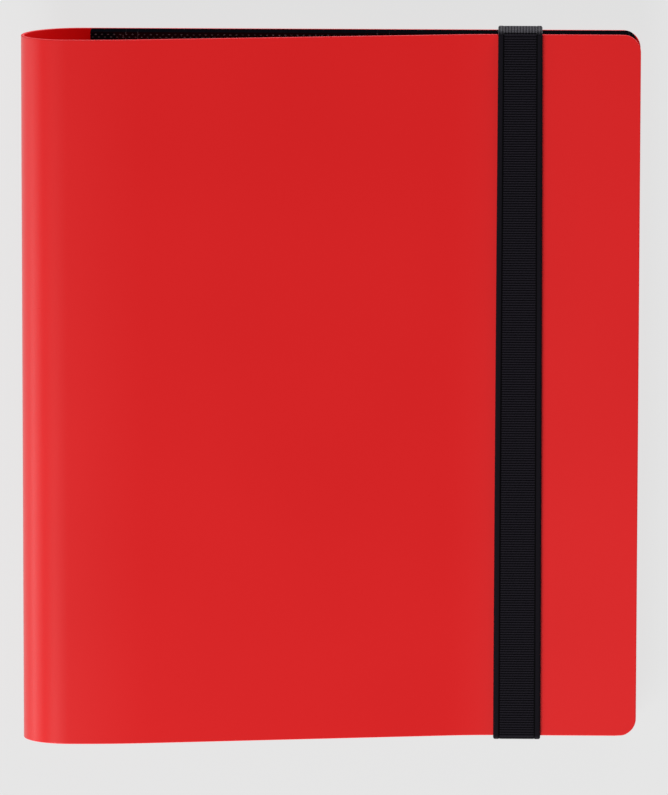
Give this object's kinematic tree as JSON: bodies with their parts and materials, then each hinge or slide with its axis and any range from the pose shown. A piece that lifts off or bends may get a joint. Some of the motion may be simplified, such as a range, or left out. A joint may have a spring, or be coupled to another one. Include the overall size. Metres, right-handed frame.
{
  "type": "trading card binder",
  "caption": "Slim side-loading card binder with a bent plastic cover, black pocket leaves and an elastic closing strap.",
  "frame": {"origin": "below the middle of the closed binder, on the surface that it lies on", "axes": "+X from the spine to the fore edge, +Y to the head, +Z from the back cover to the front cover"},
  "size_m": [0.172, 0.2012, 0.0259],
  "materials": {
    "red_sheet": "fine matt red polypropylene sheet",
    "black_leaf": "black film with clear welded pockets",
    "black_elastic": "ribbed woven elastic"
  },
  "bodies": {
    "back": {"back_cover": "red_sheet", "bound_margin": "black_leaf", "strap_head_end": "black_elastic", "strap_tail_end": "black_elastic"},
    "spine_1": {"spine_strip_1": "red_sheet"},
    "spine_2": {"spine_strip_2": "red_sheet"},
    "spine_3": {"spine_strip_3": "red_sheet"},
    "spine_4": {"spine_strip_4": "red_sheet"},
    "spine_5": {"spine_strip_5": "red_sheet"},
    "front": {"front_cover": "red_sheet"},
    "leaf_01": {"leaf_01": "black_leaf"},
    "leaf_02": {"leaf_02": "black_leaf"},
    "leaf_03": {"leaf_03": "black_leaf"},
    "leaf_04": {"leaf_04": "black_leaf"},
    "leaf_05": {"leaf_05": "black_leaf"},
    "leaf_06": {"leaf_06": "black_leaf"},
    "leaf_07": {"leaf_07": "black_leaf"},
    "leaf_08": {"leaf_08": "black_leaf"},
    "leaf_09": {"leaf_09": "black_leaf"},
    "leaf_10": {"leaf_10": "black_leaf"},
    "leaf_11": {"leaf_11": "black_leaf"},
    "leaf_12": {"leaf_12": "black_leaf"},
    "leaf_13": {"leaf_13": "black_leaf"},
    "leaf_14": {"leaf_14": "black_leaf"},
    "leaf_15": {"leaf_15": "black_leaf"},
    "leaf_16": {"leaf_16": "black_leaf"},
    "leaf_17": {"leaf_17": "black_leaf"},
    "leaf_18": {"leaf_18": "black_leaf"},
    "leaf_19": {"leaf_19": "black_leaf"},
    "leaf_20": {"leaf_20": "black_leaf"},
    "strap": {"strap_front_run": "black_elastic", "strap_head_wrap": "black_elastic", "strap_tail_wrap": "black_elastic"}
  },
  "joints": [
    {"name": "spine_bend_1", "type": "hinge", "parent": "back", "child": "spine_1", "pos_m": [-0.069, 0, 0.00155], "axis": [0, -1, 0], "range_deg": [0, 14.71]},
    {"name": "spine_bend_2", "type": "hinge", "parent": "spine_1", "child": "spine_2", "pos_m": [-0.07923, 0, 0.00423], "axis": [0, -1, 0], "range_deg": [0, 33.33]},
    {"name": "spine_bend_3", "type": "hinge", "parent": "spine_2", "child": "spine_3", "pos_m": [-0.08555, 0, 0.01126], "axis": [0, -1, 0], "range_deg": [0, 41.99]},
    {"name": "spine_bend_4", "type": "hinge", "parent": "spine_3", "child": "spine_4", "pos_m": [-0.08555, 0, 0.01864], "axis": [0, -1, 0], "range_deg": [0, 44.24]},
    {"name": "spine_bend_5", "type": "hinge", "parent": "spine_4", "child": "spine_5", "pos_m": [-0.08076, 0, 0.02357], "axis": [0, -1, 0], "range_deg": [0, 32.15]},
    {"name": "cover_open", "type": "hinge", "parent": "spine_5", "child": "front", "pos_m": [-0.073, 0, 0.02545], "axis": [0, -1, 0], "range_deg": [0, 18.91]},
    {"name": "leaf_01_turn", "type": "hinge", "parent": "back", "child": "leaf_01", "pos_m": [-0.06, 0, 0.01042], "axis": [0, -1, 0], "range_deg": [0, 180]},
    {"name": "leaf_02_turn", "type": "hinge", "parent": "back", "child": "leaf_02", "pos_m": [-0.06, 0, 0.01042], "axis": [0, -1, 0], "range_deg": [0, 180]},
    {"name": "leaf_03_turn", "type": "hinge", "parent": "back", "child": "leaf_03", "pos_m": [-0.06, 0, 0.01042], "axis": [0, -1, 0], "range_deg": [0, 180]},
    {"name": "leaf_04_turn", "type": "hinge", "parent": "back", "child": "leaf_04", "pos_m": [-0.06, 0, 0.01042], "axis": [0, -1, 0], "range_deg": [0, 180]},
    {"name": "leaf_05_turn", "type": "hinge", "parent": "back", "child": "leaf_05", "pos_m": [-0.06, 0, 0.01042], "axis": [0, -1, 0], "range_deg": [0, 180]},
    {"name": "leaf_06_turn", "type": "hinge", "parent": "back", "child": "leaf_06", "pos_m": [-0.06, 0, 0.01042], "axis": [0, -1, 0], "range_deg": [0, 180]},
    {"name": "leaf_07_turn", "type": "hinge", "parent": "back", "child": "leaf_07", "pos_m": [-0.06, 0, 0.01042], "axis": [0, -1, 0], "range_deg": [0, 180]},
    {"name": "leaf_08_turn", "type": "hinge", "parent": "back", "child": "leaf_08", "pos_m": [-0.06, 0, 0.01042], "axis": [0, -1, 0], "range_deg": [0, 180]},
    {"name": "leaf_09_turn", "type": "hinge", "parent": "back", "child": "leaf_09", "pos_m": [-0.06, 0, 0.01042], "axis": [0, -1, 0], "range_deg": [0, 180]},
    {"name": "leaf_10_turn", "type": "hinge", "parent": "back", "child": "leaf_10", "pos_m": [-0.06, 0, 0.01042], "axis": [0, -1, 0], "range_deg": [0, 180]},
    {"name": "leaf_11_turn", "type": "hinge", "parent": "back", "child": "leaf_11", "pos_m": [-0.06, 0, 0.01042], "axis": [0, -1, 0], "range_deg": [0, 180]},
    {"name": "leaf_12_turn", "type": "hinge", "parent": "back", "child": "leaf_12", "pos_m": [-0.06, 0, 0.01042], "axis": [0, -1, 0], "range_deg": [0, 180]},
    {"name": "leaf_13_turn", "type": "hinge", "parent": "back", "child": "leaf_13", "pos_m": [-0.06, 0, 0.01042], "axis": [0, -1, 0], "range_deg": [0, 180]},
    {"name": "leaf_14_turn", "type": "hinge", "parent": "back", "child": "leaf_14", "pos_m": [-0.06, 0, 0.01042], "axis": [0, -1, 0], "range_deg": [0, 180]},
    {"name": "leaf_15_turn", "type": "hinge", "parent": "back", "child": "leaf_15", "pos_m": [-0.06, 0, 0.01042], "axis": [0, -1, 0], "range_deg": [0, 180]},
    {"name": "leaf_16_turn", "type": "hinge", "parent": "back", "child": "leaf_16", "pos_m": [-0.06, 0, 0.01042], "axis": [0, -1, 0], "range_deg": [0, 180]},
    {"name": "leaf_17_turn", "type": "hinge", "parent": "back", "child": "leaf_17", "pos_m": [-0.06, 0, 0.01042], "axis": [0, -1, 0], "range_deg": [0, 180]},
    {"name": "leaf_18_turn", "type": "hinge", "parent": "back", "child": "leaf_18", "pos_m": [-0.06, 0, 0.01042], "axis": [0, -1, 0], "range_deg": [0, 180]},
    {"name": "leaf_19_turn", "type": "hinge", "parent": "back", "child": "leaf_19", "pos_m": [-0.06, 0, 0.01042], "axis": [0, -1, 0], "range_deg": [0, 180]},
    {"name": "leaf_20_turn", "type": "hinge", "parent": "back", "child": "leaf_20", "pos_m": [-0.06, 0, 0.01042], "axis": [0, -1, 0], "range_deg": [0, 180]},
    {"name": "strap_release", "type": "slide", "parent": "back", "child": "strap", "axis": [1, 0, 0], "range_m": [0, 0.045], "deforming": ["strap_front_run", "strap_head_wrap", "strap_tail_wrap"]}
  ],
  "couplings": [
    {"joint": "spine_bend_1", "follows": "cover_open", "ratio": 0.77713},
    {"joint": "spine_bend_2", "follows": "cover_open", "ratio": 1.7614},
    {"joint": "spine_bend_3", "follows": "cover_open", "ratio": 2.2195},
    {"joint": "spine_bend_4", "follows": "cover_open", "ratio": 2.3381},
    {"joint": "spine_bend_5", "follows": "cover_open", "ratio": 1.6992},
    {"joint": "leaf_01_turn", "follows": "cover_open", "ratio": 0.013597},
    {"joint": "leaf_02_turn", "follows": "cover_open", "ratio": 0.027308},
    {"joint": "leaf_03_turn", "follows": "cover_open", "ratio": 0.041971},
    {"joint": "leaf_04_turn", "follows": "cover_open", "ratio": 0.061031},
    {"joint": "leaf_05_turn", "follows": "cover_open", "ratio": 0.095401},
    {"joint": "leaf_06_turn", "follows": "cover_open", "ratio": 0.15067},
    {"joint": "leaf_07_turn", "follows": "cover_open", "ratio": 0.37488},
    {"joint": "leaf_08_turn", "follows": "cover_open", "ratio": 0.85733},
    {"joint": "leaf_09_turn", "follows": "cover_open", "ratio": 1.8927},
    {"joint": "leaf_10_turn", "follows": "cover_open", "ratio": 3.6719},
    {"joint": "leaf_11_turn", "follows": "cover_open", "ratio": 5.8443},
    {"joint": "leaf_12_turn", "follows": "cover_open", "ratio": 7.6235},
    {"joint": "leaf_13_turn", "follows": "cover_open", "ratio": 8.6588},
    {"joint": "leaf_14_turn", "follows": "cover_open", "ratio": 9.1413},
    {"joint": "leaf_15_turn", "follows": "cover_open", "ratio": 9.3411},
    {"joint": "leaf_16_turn", "follows": "cover_open", "ratio": 9.4208},
    {"joint": "leaf_17_turn", "follows": "cover_open", "ratio": 9.4552},
    {"joint": "leaf_18_turn", "follows": "cover_open", "ratio": 9.4742},
    {"joint": "leaf_19_turn", "follows": "cover_open", "ratio": 9.4889},
    {"joint": "leaf_20_turn", "follows": "cover_open", "ratio": 9.5026}
  ]
}
